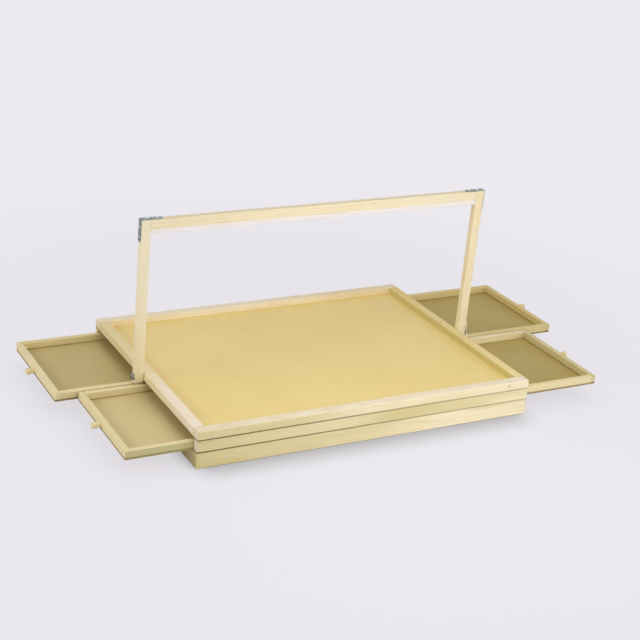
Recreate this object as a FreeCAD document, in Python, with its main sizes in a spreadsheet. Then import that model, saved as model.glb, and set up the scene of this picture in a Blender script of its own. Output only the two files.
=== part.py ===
import FreeCAD, Part
import Sketcher

import math
import os
import re

# Jigsaw board on a shallow case, with four pull-out sorting drawers and a folding light arch.
# Millimetres. X runs along the long side, Y from front to back and Z up.
# The origin is the centre of the underside.
# The arch stands upright and each drawer is pulled out as far as its own value says.

doc = FreeCAD.newDocument("puzzle_board")
sheet = doc.addObject("Spreadsheet::Sheet", "Sizes")

sizes = {
    # case, built in three layers of rails
    "board_width": 750,
    "board_depth": 550,
    "base_height": 34,
    "middle_height": 25,
    "top_height": 18,
    "top_rail_width": 22,
    "frame_rail_thickness": 15,
    "corner_round": 3,
    "groove_round": 1.6,
    "centre_rail_width": 24,
    # panels let into the rails
    "work_board_thickness": 5,
    "work_board_rebate": 12,
    "deck_thickness": 4,
    "deck_rebate": 7,
    "panel_clearance": 0.4,
    # strips that part the four drawers
    "divider_thickness": 3.4,
    "cross_stop_thickness": 10,
    # drawers
    "drawer_rail_thickness": 11.5,
    "drawer_rail_height": 14.8,
    "drawer_floor_thickness": 2.7,
    "drawer_running_gap": 0.3,
    "drawer_side_gap": 1.2,
    "drawer_end_gap": 1,
    "drawer_corner_round": 3,
    "drawer_edge_round": 1,
    "left_back_pull": 182,
    "left_front_pull": 136,
    "right_back_pull": 266,
    "right_front_pull": 191,
    # turned wooden knobs with a glued tenon
    "knob_tenon_radius": 3,
    "knob_tenon_length": 9,
    "knob_neck_radius": 5,
    "knob_neck_length": 9,
    "knob_head_radius": 6.4,
    "knob_head_length": 9.5,
    "knob_round": 2.6,
    "knob_fit": 0.1,
    # light arch
    "arch_height": 400,
    "arch_depth": 14,
    "arch_gap": 0.6,
    "arch_edge_round": 1,
    "leg_thickness": 19,
    "leg_tail": 13.5,
    "leg_foot_round": 2.5,
    "bar_height": 20,
    # pivot bolts and washers
    "bolt_radius": 3,
    "bolt_running_fit": 0.05,
    "bolt_thread_fit": 0.02,
    "bolt_reach": 16,
    "bolt_head_radius": 6,
    "bolt_head_height": 3.2,
    "bolt_head_round": 1.4,
    "bolt_slot_width": 1.4,
    "bolt_slot_depth": 1.3,
    "bolt_slot_length": 7,
    "washer_radius": 7.2,
    "washer_thickness": 1.2,
    "washer_gap": 0.2,
    "blind_hole_spare": 0.5,
    # corner brackets and their screws
    "bracket_arm": 45,
    "bracket_width": 12,
    "bracket_thickness": 1.6,
    "bracket_end_round": 5.6,
    "bracket_near_hole": 15,
    "bracket_far_hole": 35,
    "bracket_hole_fit": 0.3,
    "screw_radius": 1.5,
    "screw_length": 12,
    "screw_fit": 0.05,
    "screw_head_radius": 3.1,
    "screw_crown_radius": 2.1,
    "screw_head_height": 1.3,
    "screw_slot_width": 0.8,
    "screw_slot_length": 3.6,
    "screw_slot_depth": 0.7,
    # light strip in its milky sleeve
    "strip_end_gap": 4.6,
    "strip_width": 9.4,
    "strip_thickness": 0.6,
    "led_count": 45,
    "led_side": 5,
    "led_height": 1.5,
    "strip_block_length": 8,
    "strip_block_height": 4.5,
    "sleeve_width": 12,
    "sleeve_height": 10,
    "sleeve_wall": 1,
    "sleeve_end_gap": 0.3,
    # lead from the strip down the right leg
    "lead_radius": 1,
    "lead_offset": 3.2,
    "lead_drop": 2.4,
    "lead_bend": 6,
    "lead_slot_clearance": 0.25,
    "lead_hole_radius": 1.5,
    "lead_hole_depth": 8,
    "lead_hole_inset": 4,
    "lead_slot_end": 30,
    "lead_slot_spare": 9,
    "lead_head_gap": 1.4,
}

# Sizes that follow from those above.
derived = {
    "half_width": "board_width / 2",
    "half_depth": "board_depth / 2",
    "top_bottom": "base_height + middle_height",
    "board_top": "top_bottom + top_height",
    "deck_bottom": "base_height - deck_thickness",
    "top_inner_width": "half_width - top_rail_width",
    "top_inner_depth": "half_depth - top_rail_width",
    "case_inner_width": "half_width - frame_rail_thickness",
    "case_inner_depth": "half_depth - frame_rail_thickness",
    "work_board_half_width": "top_inner_width + work_board_rebate - panel_clearance",
    "work_board_half_depth": "top_inner_depth + work_board_rebate - panel_clearance",
    "deck_half_width": "case_inner_width + deck_rebate - panel_clearance",
    "deck_half_depth": "case_inner_depth + deck_rebate - panel_clearance",
    "drawer_bottom": "base_height + drawer_running_gap",
    "drawer_length": "half_width - cross_stop_thickness / 2 - drawer_end_gap",
    "drawer_breadth": "case_inner_depth - divider_thickness / 2 - 2 * drawer_side_gap",
    "drawer_middle": "divider_thickness / 2 + drawer_side_gap + drawer_breadth / 2",
    "drawer_side_length": "drawer_length - 2 * drawer_rail_thickness",
    "pivot_height": "top_bottom + top_height / 2",
    "leg_foot": "pivot_height - leg_tail",
    "leg_inner": "half_width + arch_gap",
    "leg_outer": "leg_inner + leg_thickness",
    "bar_bottom": "arch_height - bar_height",
    "washer_inner": "leg_outer + washer_gap",
    "bolt_seat": "washer_inner + washer_thickness",
    "bolt_top": "bolt_seat + bolt_head_height",
    "bolt_end": "half_width - bolt_reach",
    "bracket_top": "arch_height + bracket_thickness",
    "bracket_outer": "leg_outer + bracket_thickness",
    "strip_length": "2 * (leg_inner - strip_end_gap)",
    "strip_bottom": "bar_bottom - strip_thickness",
    "led_pitch": "strip_length / led_count",
    "lead_height": "bar_bottom - lead_drop",
    "lead_slot_depth": "2 * lead_radius + 2 * lead_slot_clearance",
    "lead_slot_x": "leg_outer - lead_slot_clearance - lead_radius",
    "lead_slot_foot": "board_top + lead_slot_end",
    "lead_hole_x": "half_width - lead_hole_inset",
    "lead_pivot_x": "bolt_top + lead_head_gap + lead_radius",
}

row = 0
for name, content in list(sizes.items()) + [(name, "=" + text) for name, text in derived.items()]:
    row += 1
    sheet.set("A%d" % row, name)
    sheet.set("B%d" % row, str(content))
    sheet.setAlias("B%d" % row, name)
doc.recompute()

# Turns that lay a primitive's own Z axis along another one.
upright = FreeCAD.Rotation()
along_x = FreeCAD.Rotation(FreeCAD.Vector(0, 1, 0), 90)
half_turn = FreeCAD.Rotation(FreeCAD.Vector(0, 0, 1), 180)

tolerance = 0.001
bend_share = 0.45
parts = []


def bound(text):
    """Points every size that an expression names at the sheet."""
    return re.sub(r"[a-z][a-z_]*", lambda word: "Sizes." + word.group(0), text)


def worked_out(text):
    return float(sheet.evalExpression(bound(text)))


def bind(item, **properties):
    for name, text in properties.items():
        item.setExpression(name, bound(text))


def put(item, place):
    for axis, text in zip("xyz", place):
        item.setExpression("Placement.Base." + axis, bound(text))


def turned(item):
    """Gives the piece at one end of the board the other end's place."""
    item.Placement.Rotation = half_turn


def new_body(label):
    body = doc.addObject("PartDesign::Body", label)
    body.Label = label
    parts.append(body)
    return body


def block(body, place, size, kind="Additive"):
    """A block whose lowest corner is at place."""
    item = body.newObject("PartDesign::" + kind + "Box", body.Label + "_block")
    length, width, height = size
    bind(item, Length=length, Width=width, Height=height)
    put(item, place)
    return item


def rod(body, place, radius, length, turn, kind="Additive"):
    """A cylinder that starts at place and runs along its turned axis."""
    item = body.newObject("PartDesign::" + kind + "Cylinder", body.Label + "_rod")
    bind(item, Radius=radius, Height=length)
    item.Placement.Rotation = turn
    put(item, place)
    return item


def cut_block(body, place, size):
    return block(body, place, size, "Subtractive")


def bore(body, place, radius, length, turn):
    return rod(body, place, radius, length, turn, "Subtractive")


def lies_on(edge, limits, pick):
    """Whether an edge lies on the sides of a box that a word such as 'x-z+' names."""
    span = edge.optimalBoundingBox(False)
    for axis, side in zip(pick[::2].upper(), pick[1::2]):
        goal = getattr(limits, axis + ("Min" if side == "-" else "Max"))
        low = getattr(span, axis + "Min")
        high = getattr(span, axis + "Max")
        if abs(low - goal) > tolerance or abs(high - goal) > tolerance:
            return False
    return True


def rounded(body, radius, *picks):
    """Rounds the edges on the named sides of a body."""
    doc.recompute()
    base = body.Tip
    limits = base.Shape.optimalBoundingBox(False)
    names = []
    for number, edge in enumerate(base.Shape.Edges, 1):
        if any(lies_on(edge, limits, pick) for pick in picks):
            names.append("Edge%d" % number)
    fillet = body.newObject("PartDesign::Fillet", body.Label + "_round")
    fillet.Base = (base, names)
    bind(fillet, Radius=radius)
    body.Tip = fillet


def group(items, label):
    """Keeps like pieces together as one node of separate solids."""
    item = doc.addObject("Part::Compound", label)
    item.Label = label
    item.Links = items
    parts.append(item)


# The front and back rails run the full width, and the side rails stand between them.
# The back and left pieces are the front and right ones turned half round.
def top_long_rail(label):
    body = new_body(label)
    stock = ("board_width", "top_rail_width", "top_height")
    block(body, ("-half_width", "-half_depth", "top_bottom"), stock)
    reach = "(top_inner_width + work_board_rebate)"
    rebate = ("2 * " + reach, "work_board_rebate", "work_board_thickness")
    cut_block(body, ("-" + reach, "-(top_inner_depth + work_board_rebate)", "top_bottom"), rebate)
    rounded(body, "corner_round", "y-z+", "x-z+", "x+z+", "x-y-", "x+y-")
    rounded(body, "groove_round", "y-z-", "y+z+")
    return body


def top_side_rail(label):
    body = new_body(label)
    start = ("top_inner_width", "-top_inner_depth", "top_bottom")
    block(body, start, ("top_rail_width", "2 * top_inner_depth", "top_height"))
    cut_block(body, start, ("work_board_rebate", "2 * top_inner_depth", "work_board_thickness"))
    rounded(body, "corner_round", "x+z+")
    rounded(body, "groove_round", "x+z-", "x-z+")
    socket = ("bolt_end - blind_hole_spare", "0", "pivot_height")
    bore(body, socket, "bolt_radius + bolt_thread_fit", "bolt_reach + 2 * blind_hole_spare", along_x)
    return body


def middle_rail(label):
    body = new_body(label)
    stock = ("board_width", "frame_rail_thickness", "middle_height")
    block(body, ("-half_width", "-half_depth", "base_height"), stock)
    rounded(body, "corner_round", "x-y-", "x+y-")
    rounded(body, "groove_round", "y-z-", "y-z+")
    return body


def base_long_rail(label):
    body = new_body(label)
    stock = ("board_width", "frame_rail_thickness", "base_height")
    block(body, ("-half_width", "-half_depth", "0"), stock)
    reach = "(case_inner_width + deck_rebate)"
    rebate = ("2 * " + reach, "deck_rebate", "deck_thickness")
    cut_block(body, ("-" + reach, "-(case_inner_depth + deck_rebate)", "deck_bottom"), rebate)
    rounded(body, "corner_round", "x-y-", "x+y-")
    rounded(body, "groove_round", "y-z-", "y-z+")
    return body


def base_side_rail(label):
    body = new_body(label)
    stock = ("frame_rail_thickness", "2 * case_inner_depth", "base_height")
    block(body, ("case_inner_width", "-case_inner_depth", "0"), stock)
    rebate = ("deck_rebate", "2 * case_inner_depth", "deck_thickness")
    cut_block(body, ("case_inner_width", "-case_inner_depth", "deck_bottom"), rebate)
    rounded(body, "groove_round", "x+z-", "x+z+")
    return body


def panel(label, half_x, half_y, bottom, thickness):
    body = new_body(label)
    block(body, ("-" + half_x, "-" + half_y, bottom), ("2 * " + half_x, "2 * " + half_y, thickness))


def case():
    top_long_rail("top_front_rail")
    turned(top_long_rail("top_back_rail"))
    top_side_rail("top_right_rail")
    turned(top_side_rail("top_left_rail"))
    middle_rail("middle_front_rail")
    turned(middle_rail("middle_back_rail"))
    base_long_rail("base_front_rail")
    turned(base_long_rail("base_back_rail"))
    turned(base_side_rail("base_left_rail"))
    right = base_side_rail("base_right_rail")
    mouth = ("lead_hole_x", "0", "base_height - lead_hole_depth")
    bore(right, mouth, "lead_hole_radius", "2 * lead_hole_depth", upright)
    centre = new_body("base_centre_rail")
    stock = ("centre_rail_width", "2 * case_inner_depth", "deck_bottom")
    block(centre, ("-centre_rail_width / 2", "-case_inner_depth", "0"), stock)
    halves = ("deck_half_width", "deck_half_depth")
    panel("base_deck", *halves, "deck_bottom", "deck_thickness")
    halves = ("work_board_half_width", "work_board_half_depth")
    panel("work_board", *halves, "top_bottom", "work_board_thickness")


# One long strip parts the front drawers from the back ones, and two short ones the left from the right.
def dividers():
    strip = new_body("drawer_divider")
    stock = ("2 * case_inner_width", "divider_thickness", "middle_height")
    block(strip, ("-case_inner_width", "-divider_thickness / 2", "base_height"), stock)
    stock = ("cross_stop_thickness", "case_inner_depth - divider_thickness / 2", "middle_height")
    starts = {"front_cross_stop": "-case_inner_depth", "back_cross_stop": "divider_thickness / 2"}
    for label, start in starts.items():
        stop = new_body(label)
        block(stop, ("-cross_stop_thickness / 2", start, "base_height"), stock)


# A drawer is drawn about the middle of its outer end, with its length towards -X.
# The left ones are turned half round, so their two side rails change names.
def drawer(side, end):
    name = side + "_" + end + "_drawer_"
    outwards = "-" if side == "left" else ""
    backwards = "-" if end == "front" else ""
    half = "drawer_breadth / 2"

    def seat(body, lift, draw_back="0"):
        reach = outwards + "(half_width + " + side + "_" + end + "_pull - " + draw_back + ")"
        put(body, (reach, backwards + "drawer_middle", "drawer_bottom + " + lift))
        if side == "left":
            turned(body)

    end_stock = ("drawer_rail_thickness", "drawer_breadth", "drawer_rail_height")
    outer = new_body(name + "outer_rail")
    block(outer, ("-drawer_rail_thickness", "-" + half, "0"), end_stock)
    rounded(outer, "drawer_corner_round", "x+y-", "x+y+")
    rounded(outer, "drawer_edge_round", "x+z+", "x-z+")
    socket = ("-knob_tenon_length - knob_fit", "0", "drawer_rail_height / 2")
    bore(outer, socket, "knob_tenon_radius + knob_fit", "2 * knob_tenon_length", along_x)
    seat(outer, "drawer_floor_thickness")

    inner = new_body(name + "inner_rail")
    block(inner, ("-drawer_length", "-" + half, "0"), end_stock)
    rounded(inner, "drawer_edge_round", "x+z+", "x-z+")
    seat(inner, "drawer_floor_thickness")

    labels = ("front_side", "back_side") if side == "right" else ("back_side", "front_side")
    for label, start in zip(labels, ("-" + half, half + " - drawer_rail_thickness")):
        rail = new_body(name + label)
        stock = ("drawer_side_length", "drawer_rail_thickness", "drawer_rail_height")
        block(rail, ("drawer_rail_thickness - drawer_length", start, "0"), stock)
        rounded(rail, "drawer_edge_round", "y-z+", "y+z+")
        seat(rail, "drawer_floor_thickness")

    floor = new_body(name + "floor")
    stock = ("drawer_length", "drawer_breadth", "drawer_floor_thickness")
    block(floor, ("-drawer_length", "-" + half, "0"), stock)
    rounded(floor, "drawer_corner_round", "x+y-", "x+y+")
    seat(floor, "0")

    seat(knob(name + "knob"), "drawer_floor_thickness + drawer_rail_height / 2", "knob_tenon_length")


# The knob is turned about X, from the end of its tenon outwards.
def knob(label):
    body = new_body(label)
    sketch = body.newObject("Sketcher::SketchObject", label + "_outline")
    plane = [item for item in body.Origin.OriginFeatures if item.Role == "XZ_Plane"][0]
    sketch.AttachmentSupport = (plane, "")
    sketch.MapMode = "FlatFace"
    neck_end = "knob_tenon_length + knob_neck_length"
    head_end = neck_end + " + knob_head_length"
    corners = (
        ("0", "0"),
        ("0", "knob_tenon_radius"),
        ("knob_tenon_length", "knob_tenon_radius"),
        ("knob_tenon_length", "knob_neck_radius"),
        (neck_end, "knob_neck_radius"),
        (neck_end, "knob_head_radius"),
        (head_end, "knob_head_radius"),
        (head_end, "0"),
    )
    outline(sketch, corners)
    turning = body.newObject("PartDesign::Revolution", label + "_turning")
    turning.Profile = sketch
    turning.ReferenceAxis = (sketch, ["H_Axis"])
    turning.Angle = 360
    body.Tip = turning
    rounded(body, "knob_round", "x+")
    return body


def outline(sketch, corners):
    """Draws a closed outline of straight lines and ties each corner to the sheet."""
    points = [FreeCAD.Vector(worked_out(across), worked_out(along), 0) for across, along in corners]
    count = len(points)
    for index in range(count):
        sketch.addGeometry(Part.LineSegment(points[index], points[(index + 1) % count]), False)
    for index in range(count):
        sketch.addConstraint(Sketcher.Constraint("Coincident", index, 2, (index + 1) % count, 1))
    for index, (across, along) in enumerate(corners):
        for kind, text, axis in (("DistanceX", across, -2), ("DistanceY", along, -1)):
            if text == "0":
                sketch.addConstraint(Sketcher.Constraint("PointOnObject", index, 1, axis))
                continue
            distance = Sketcher.Constraint(kind, -1, 1, index, 1, worked_out(text))
            number = sketch.addConstraint(distance)
            sketch.setExpression("Constraints[%d]" % number, bound(text))


def arch():
    right = leg("arch_right_leg")
    lead_way(right)
    turned(leg("arch_left_leg"))

    bar = new_body("arch_bar")
    stock = ("2 * leg_inner", "arch_depth", "bar_height")
    block(bar, ("-leg_inner", "-arch_depth / 2", "bar_bottom"), stock)
    rounded(bar, "arch_edge_round", "y-z+", "y+z+", "y-z-", "y+z-")
    for place in ("leg_outer - bracket_far_hole", "bracket_far_hole - leg_outer"):
        pilot_hole(bar, (place, "0", "arch_height - screw_length"), upright)


def leg(label):
    body = new_body(label)
    stock = ("leg_thickness", "arch_depth", "arch_height - leg_foot")
    block(body, ("leg_inner", "-arch_depth / 2", "leg_foot"), stock)
    rounded(body, "leg_foot_round", "y-z-", "y+z-")
    rounded(body, "arch_edge_round", "x-y-", "x+y-", "x-y+", "x+y+")
    eye = ("leg_inner - blind_hole_spare", "0", "pivot_height")
    bore(body, eye, "bolt_radius + bolt_running_fit", "leg_thickness + 2 * blind_hole_spare", along_x)
    for drop in ("bracket_near_hole", "bracket_far_hole"):
        pilot_hole(body, ("leg_outer - screw_length", "0", "arch_height - " + drop), along_x)
    pilot_hole(body, ("leg_outer - bracket_near_hole", "0", "arch_height - screw_length"), upright)
    return body


def pilot_hole(body, place, turn):
    bore(body, place, "screw_radius + screw_fit", "2 * screw_length", turn)


# The lead comes out of the bar's end through a hole, turns down in a pocket and lies in a slot.
def lead_way(body):
    room = "(lead_radius + lead_slot_clearance)"
    side = "lead_offset - " + room
    entry = ("leg_inner - blind_hole_spare", "lead_offset", "lead_height")
    bore(body, entry, room, "leg_thickness - lead_bend", along_x)
    pocket = ("lead_slot_x - lead_bend - " + room, side, "lead_height - lead_bend - " + room)
    cut_block(body, pocket, ("lead_bend + 2 * " + room, "2 * " + room, "lead_bend + 2 * " + room))
    foot = "(lead_slot_foot - lead_slot_spare)"
    slot = ("leg_outer - lead_slot_depth", side, foot)
    cut_block(body, slot, ("2 * lead_slot_depth", "2 * " + room, "lead_height - " + foot))


def light():
    strip = new_body("led_strip")
    side = "-strip_width / 2"
    stock = ("strip_length", "strip_width", "strip_thickness")
    block(strip, ("-strip_length / 2", side, "strip_bottom"), stock)
    stock = ("strip_block_length", "strip_width", "strip_block_height")
    block(strip, ("strip_length / 2 - strip_block_length", side, "bar_bottom - strip_block_height"), stock)
    place = ("(led_pitch - strip_length - led_side) / 2", "-led_side / 2", "strip_bottom - led_height")
    chip = block(strip, place, ("led_side", "led_side", "led_height"))
    chips = strip.newObject("PartDesign::LinearPattern", "led_row")
    chips.Originals = [chip]
    axis = [item for item in strip.Origin.OriginFeatures if item.Role == "X_Axis"][0]
    chips.Direction = (axis, [""])
    bind(chips, Length="strip_length - led_pitch", Occurrences="led_count")
    strip.Tip = chips

    sleeve = new_body("led_sleeve")
    half = "(leg_inner - sleeve_end_gap)"
    bottom = "bar_bottom - sleeve_height"
    block(sleeve, ("-" + half, "-sleeve_width / 2", bottom), ("2 * " + half, "sleeve_width", "sleeve_height"))
    rounded(sleeve, "sleeve_wall", "y-z-", "y+z-")
    hollow = ("2 * " + half, "sleeve_width - 2 * sleeve_wall", "sleeve_height")
    cut_block(sleeve, ("-" + half, "sleeve_wall - sleeve_width / 2", bottom + " + sleeve_wall"), hollow)


def bracket(label):
    body = new_body(label)
    arm = ("bracket_arm + bracket_thickness", "bracket_width", "bracket_thickness")
    block(body, ("leg_outer - bracket_arm", "-bracket_width / 2", "arch_height"), arm)
    arm = ("bracket_thickness", "bracket_width", "bracket_arm")
    block(body, ("leg_outer", "-bracket_width / 2", "arch_height - bracket_arm"), arm)
    for reach in ("bracket_near_hole", "bracket_far_hole"):
        for place, turn in (
            (("leg_outer - " + reach, "0", "arch_height - bracket_thickness"), upright),
            (("leg_outer - bracket_thickness", "0", "arch_height - " + reach), along_x),
        ):
            bore(body, place, "screw_radius + bracket_hole_fit", "3 * bracket_thickness", turn)
    rounded(body, "bracket_thickness", "x+z+")
    rounded(body, "bracket_end_round", "x-y-", "x-y+", "y-z-", "y+z-")
    return body


# Eight screws: two through each arm of each bracket.
def bracket_screws():
    items = []
    for sign, name, outwards in (("", "right", along_x), ("-", "left", along_x.inverted())):
        for reach in ("bracket_near_hole", "bracket_far_hole"):
            across = sign + "(leg_outer - " + reach + ")"
            items.append(screw(name + "_top_screw", (across, "0", "bracket_top"), upright))
            place = (sign + "bracket_outer", "0", "arch_height - " + reach)
            items.append(screw(name + "_side_screw", place, outwards))
    group(items, "bracket_screws")


def screw(name, place, turn):
    """A screw with its head above place and its shank below it, along the turned axis."""
    shank = doc.addObject("Part::Cylinder", name + "_shank")
    bind(shank, Radius="screw_radius", Height="screw_length")
    put(shank, ("0", "0", "-screw_length"))
    head = doc.addObject("Part::Cone", name + "_head")
    bind(head, Radius1="screw_head_radius", Radius2="screw_crown_radius", Height="screw_head_height")
    blank = doc.addObject("Part::Fuse", name + "_blank")
    blank.Base = shank
    blank.Tool = head
    item = doc.addObject("Part::Cut", name)
    item.Base = blank
    item.Tool = cross_slot(name)
    item.Placement.Rotation = turn
    put(item, place)
    return item


def cross_slot(name):
    arms = []
    sides = ("screw_slot_length", "screw_slot_width")
    for across, along in (sides, sides[::-1]):
        arm = doc.addObject("Part::Box", name + "_arm")
        bind(arm, Length=across, Width=along, Height="2 * screw_slot_depth")
        put(arm, ("-" + across + " / 2", "-" + along + " / 2", "screw_head_height - screw_slot_depth"))
        arms.append(arm)
    slots = doc.addObject("Part::Fuse", name + "_slots")
    slots.Base, slots.Tool = arms
    return slots


# The bolt is screwed into the side rail, and the leg swings on its plain shank.
def pivot_bolt(label):
    body = new_body(label)
    rod(body, ("bolt_end", "0", "pivot_height"), "bolt_radius", "bolt_seat - bolt_end", along_x)
    rod(body, ("bolt_seat", "0", "pivot_height"), "bolt_head_radius", "bolt_head_height", along_x)
    rounded(body, "bolt_head_round", "x+")
    sides = ("bolt_slot_length", "bolt_slot_width")
    for across, along in (sides, sides[::-1]):
        place = ("bolt_top - bolt_slot_depth", "-" + across + " / 2", "pivot_height - " + along + " / 2")
        cut_block(body, place, ("2 * bolt_slot_depth", across, along))
    return body


def pivot_washers():
    items = []
    for start in ("washer_inner", "-washer_inner - washer_thickness"):
        disc = doc.addObject("Part::Cylinder", "washer_disc")
        bind(disc, Radius="washer_radius", Height="washer_thickness")
        bore_tool = doc.addObject("Part::Cylinder", "washer_bore")
        bind(bore_tool, Radius="bolt_radius + bolt_running_fit", Height="3 * washer_thickness")
        put(bore_tool, ("0", "0", "-washer_thickness"))
        ring = doc.addObject("Part::Cut", "washer_ring")
        ring.Base = disc
        ring.Tool = bore_tool
        ring.Placement.Rotation = along_x
        put(ring, (start, "0", "pivot_height"))
        items.append(ring)
    group(items, "pivot_washers")


def tube(label, points, radius, bend_limits):
    """A round lead along straight runs joined by tangent arcs, with the arcs' radii printed."""
    corners = [FreeCAD.Vector(*point) for point in points]
    edges = []
    radii = []
    start = corners[0]
    for index in range(1, len(corners) - 1):
        before = corners[index - 1] - corners[index]
        after = corners[index + 1] - corners[index]
        half_bend = (math.pi - before.getAngle(after)) / 2
        bend = bend_share * min(before.Length, after.Length) / math.tan(half_bend)
        bend = min(bend, bend_limits.get(index, bend))
        setback = bend * math.tan(half_bend)
        before.normalize()
        after.normalize()
        inward = before + after
        inward.normalize()
        first = corners[index] + before * setback
        last = corners[index] + after * setback
        middle = corners[index] + inward * (bend / math.cos(half_bend) - bend)
        edges.append(Part.LineSegment(start, first).toShape())
        edges.append(Part.Arc(first, middle, last).toShape())
        start = last
        radii.append(round(bend, 1))
    edges.append(Part.LineSegment(start, corners[-1]).toShape())
    path = Part.Wire(edges)
    ring = Part.Wire([Part.Circle(corners[0], corners[1] - corners[0], radius).toShape()])
    solid = path.makePipeShell([ring], True, False)
    share = solid.Volume / (math.pi * radius ** 2 * path.Length)
    print(label, "length", round(path.Length, 1), "radii", radii, "volume share", round(share, 4))
    return solid


# The lead lies in the leg's slot, leaves it above the bolt and crosses the pivot's own axis,
# so the arch can fold without pulling at the stretch below.
def lead():
    radius = worked_out("lead_radius")
    pivot_x = worked_out("lead_pivot_x")
    pivot_z = worked_out("pivot_height")
    slot_x = worked_out("lead_slot_x")
    offset = worked_out("lead_offset")
    height = worked_out("lead_height")
    foot = worked_out("lead_slot_foot")
    swell = worked_out("lead_head_gap")
    leave_share = 0.66
    crest_share = 0.3
    pivot = (pivot_x, 0, pivot_z)
    upper = (
        (worked_out("strip_length") / 2, offset, height),
        (slot_x, offset, height),
        (slot_x, offset, foot),
        (pivot_x - swell, offset, pivot_z + (foot - pivot_z) * leave_share),
        (pivot_x + swell, offset * crest_share, pivot_z + (foot - pivot_z) * crest_share),
        pivot,
    )
    held = tube("led_lead_upper", upper, radius, {1: worked_out("lead_bend")})
    round_end = Part.makeSphere(radius, FreeCAD.Vector(*pivot))
    add_solid("led_lead_upper", held.fuse(round_end).removeSplitter())
    # The free stretch hangs from the pivot into the gap between the drawers and down into the base.
    lower = (
        (402.1, 0.0, 66.7),
        (404.4, 0.2, 62.2),
        (406.6, 0.5, 55.8),
        (401.0, 0.5, 50.0),
        (390.0, 0.2, 46.6),
        (379.0, -0.2, 44.0),
        (372.0, 0.0, 39.4),
        (371.0, 0.3, 28.6),
    )
    add_solid("led_lead_lower", tube("led_lead_lower", lower, radius, {}))


def add_solid(label, shape):
    item = doc.addObject("Part::Feature", label)
    item.Label = label
    item.Shape = shape
    parts.append(item)


case()
dividers()
for side in ("left", "right"):
    for end in ("front", "back"):
        drawer(side, end)
arch()
light()
bracket("right_corner_bracket")
turned(bracket("left_corner_bracket"))
bracket_screws()
pivot_bolt("right_pivot_bolt")
turned(pivot_bolt("left_pivot_bolt"))
pivot_washers()
lead()

doc.recompute()
for item in doc.Objects:
    if "Invalid" in item.State or "Error" in item.State:
        raise RuntimeError(item.Label + " failed: " + str(item.State))
for item in parts:
    if item.Shape.isNull() or not item.Shape.isValid():
        raise RuntimeError(item.Label + " has no valid shape")

os.makedirs("parts", exist_ok=True)
for item in parts:
    item.Shape.exportStep("parts/" + item.Label + ".step")
print(len(parts), "nodes")
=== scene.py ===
import math

import bmesh
import bpy
import numpy as np
from mathutils import Euler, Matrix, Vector


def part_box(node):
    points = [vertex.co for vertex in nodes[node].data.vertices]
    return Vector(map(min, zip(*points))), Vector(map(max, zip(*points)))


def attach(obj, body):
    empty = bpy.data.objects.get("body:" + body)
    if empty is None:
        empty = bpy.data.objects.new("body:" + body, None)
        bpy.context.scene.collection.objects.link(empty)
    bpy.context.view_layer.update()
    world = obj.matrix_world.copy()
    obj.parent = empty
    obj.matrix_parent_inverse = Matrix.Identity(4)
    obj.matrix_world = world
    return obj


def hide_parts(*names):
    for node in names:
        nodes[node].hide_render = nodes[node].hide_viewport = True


# A jigsaw board on a shallow drawer case, with a folding light arch, dressed for a studio picture.
# Metres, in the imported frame: X to the right, Y to the back, Z up.

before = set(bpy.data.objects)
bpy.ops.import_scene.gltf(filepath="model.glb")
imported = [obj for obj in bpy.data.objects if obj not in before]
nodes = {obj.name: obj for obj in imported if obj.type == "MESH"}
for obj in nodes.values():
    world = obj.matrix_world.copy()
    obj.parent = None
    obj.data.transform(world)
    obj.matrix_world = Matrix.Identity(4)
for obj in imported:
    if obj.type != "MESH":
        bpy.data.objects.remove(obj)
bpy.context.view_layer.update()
print("frame loaded:", len(nodes), "nodes")


def linear(red, green, blue):
    # A colour as a screen shows it, from 0 to 255, turned to the linear values that shaders take.
    values = np.array([red, green, blue]) / 255
    curved = np.where(values <= 0.04045, values / 12.92, ((values + 0.055) / 1.055) ** 2.4)
    return (*curved.tolist(), 1.0)


# Shader values that join up with plain arithmetic.
class Signal:
    def __init__(self, paint, socket):
        self.paint = paint
        self.socket = socket

    def __add__(self, other):
        return self.paint.maths("ADD", self, other)

    def __radd__(self, other):
        return self.paint.maths("ADD", other, self)

    def __sub__(self, other):
        return self.paint.maths("SUBTRACT", self, other)

    def __rsub__(self, other):
        return self.paint.maths("SUBTRACT", other, self)

    def __mul__(self, other):
        return self.paint.maths("MULTIPLY", self, other)

    def __rmul__(self, other):
        return self.paint.maths("MULTIPLY", other, self)

    def __truediv__(self, other):
        return self.paint.maths("DIVIDE", self, other)

    def __pow__(self, other):
        return self.paint.maths("POWER", self, other)


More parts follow.
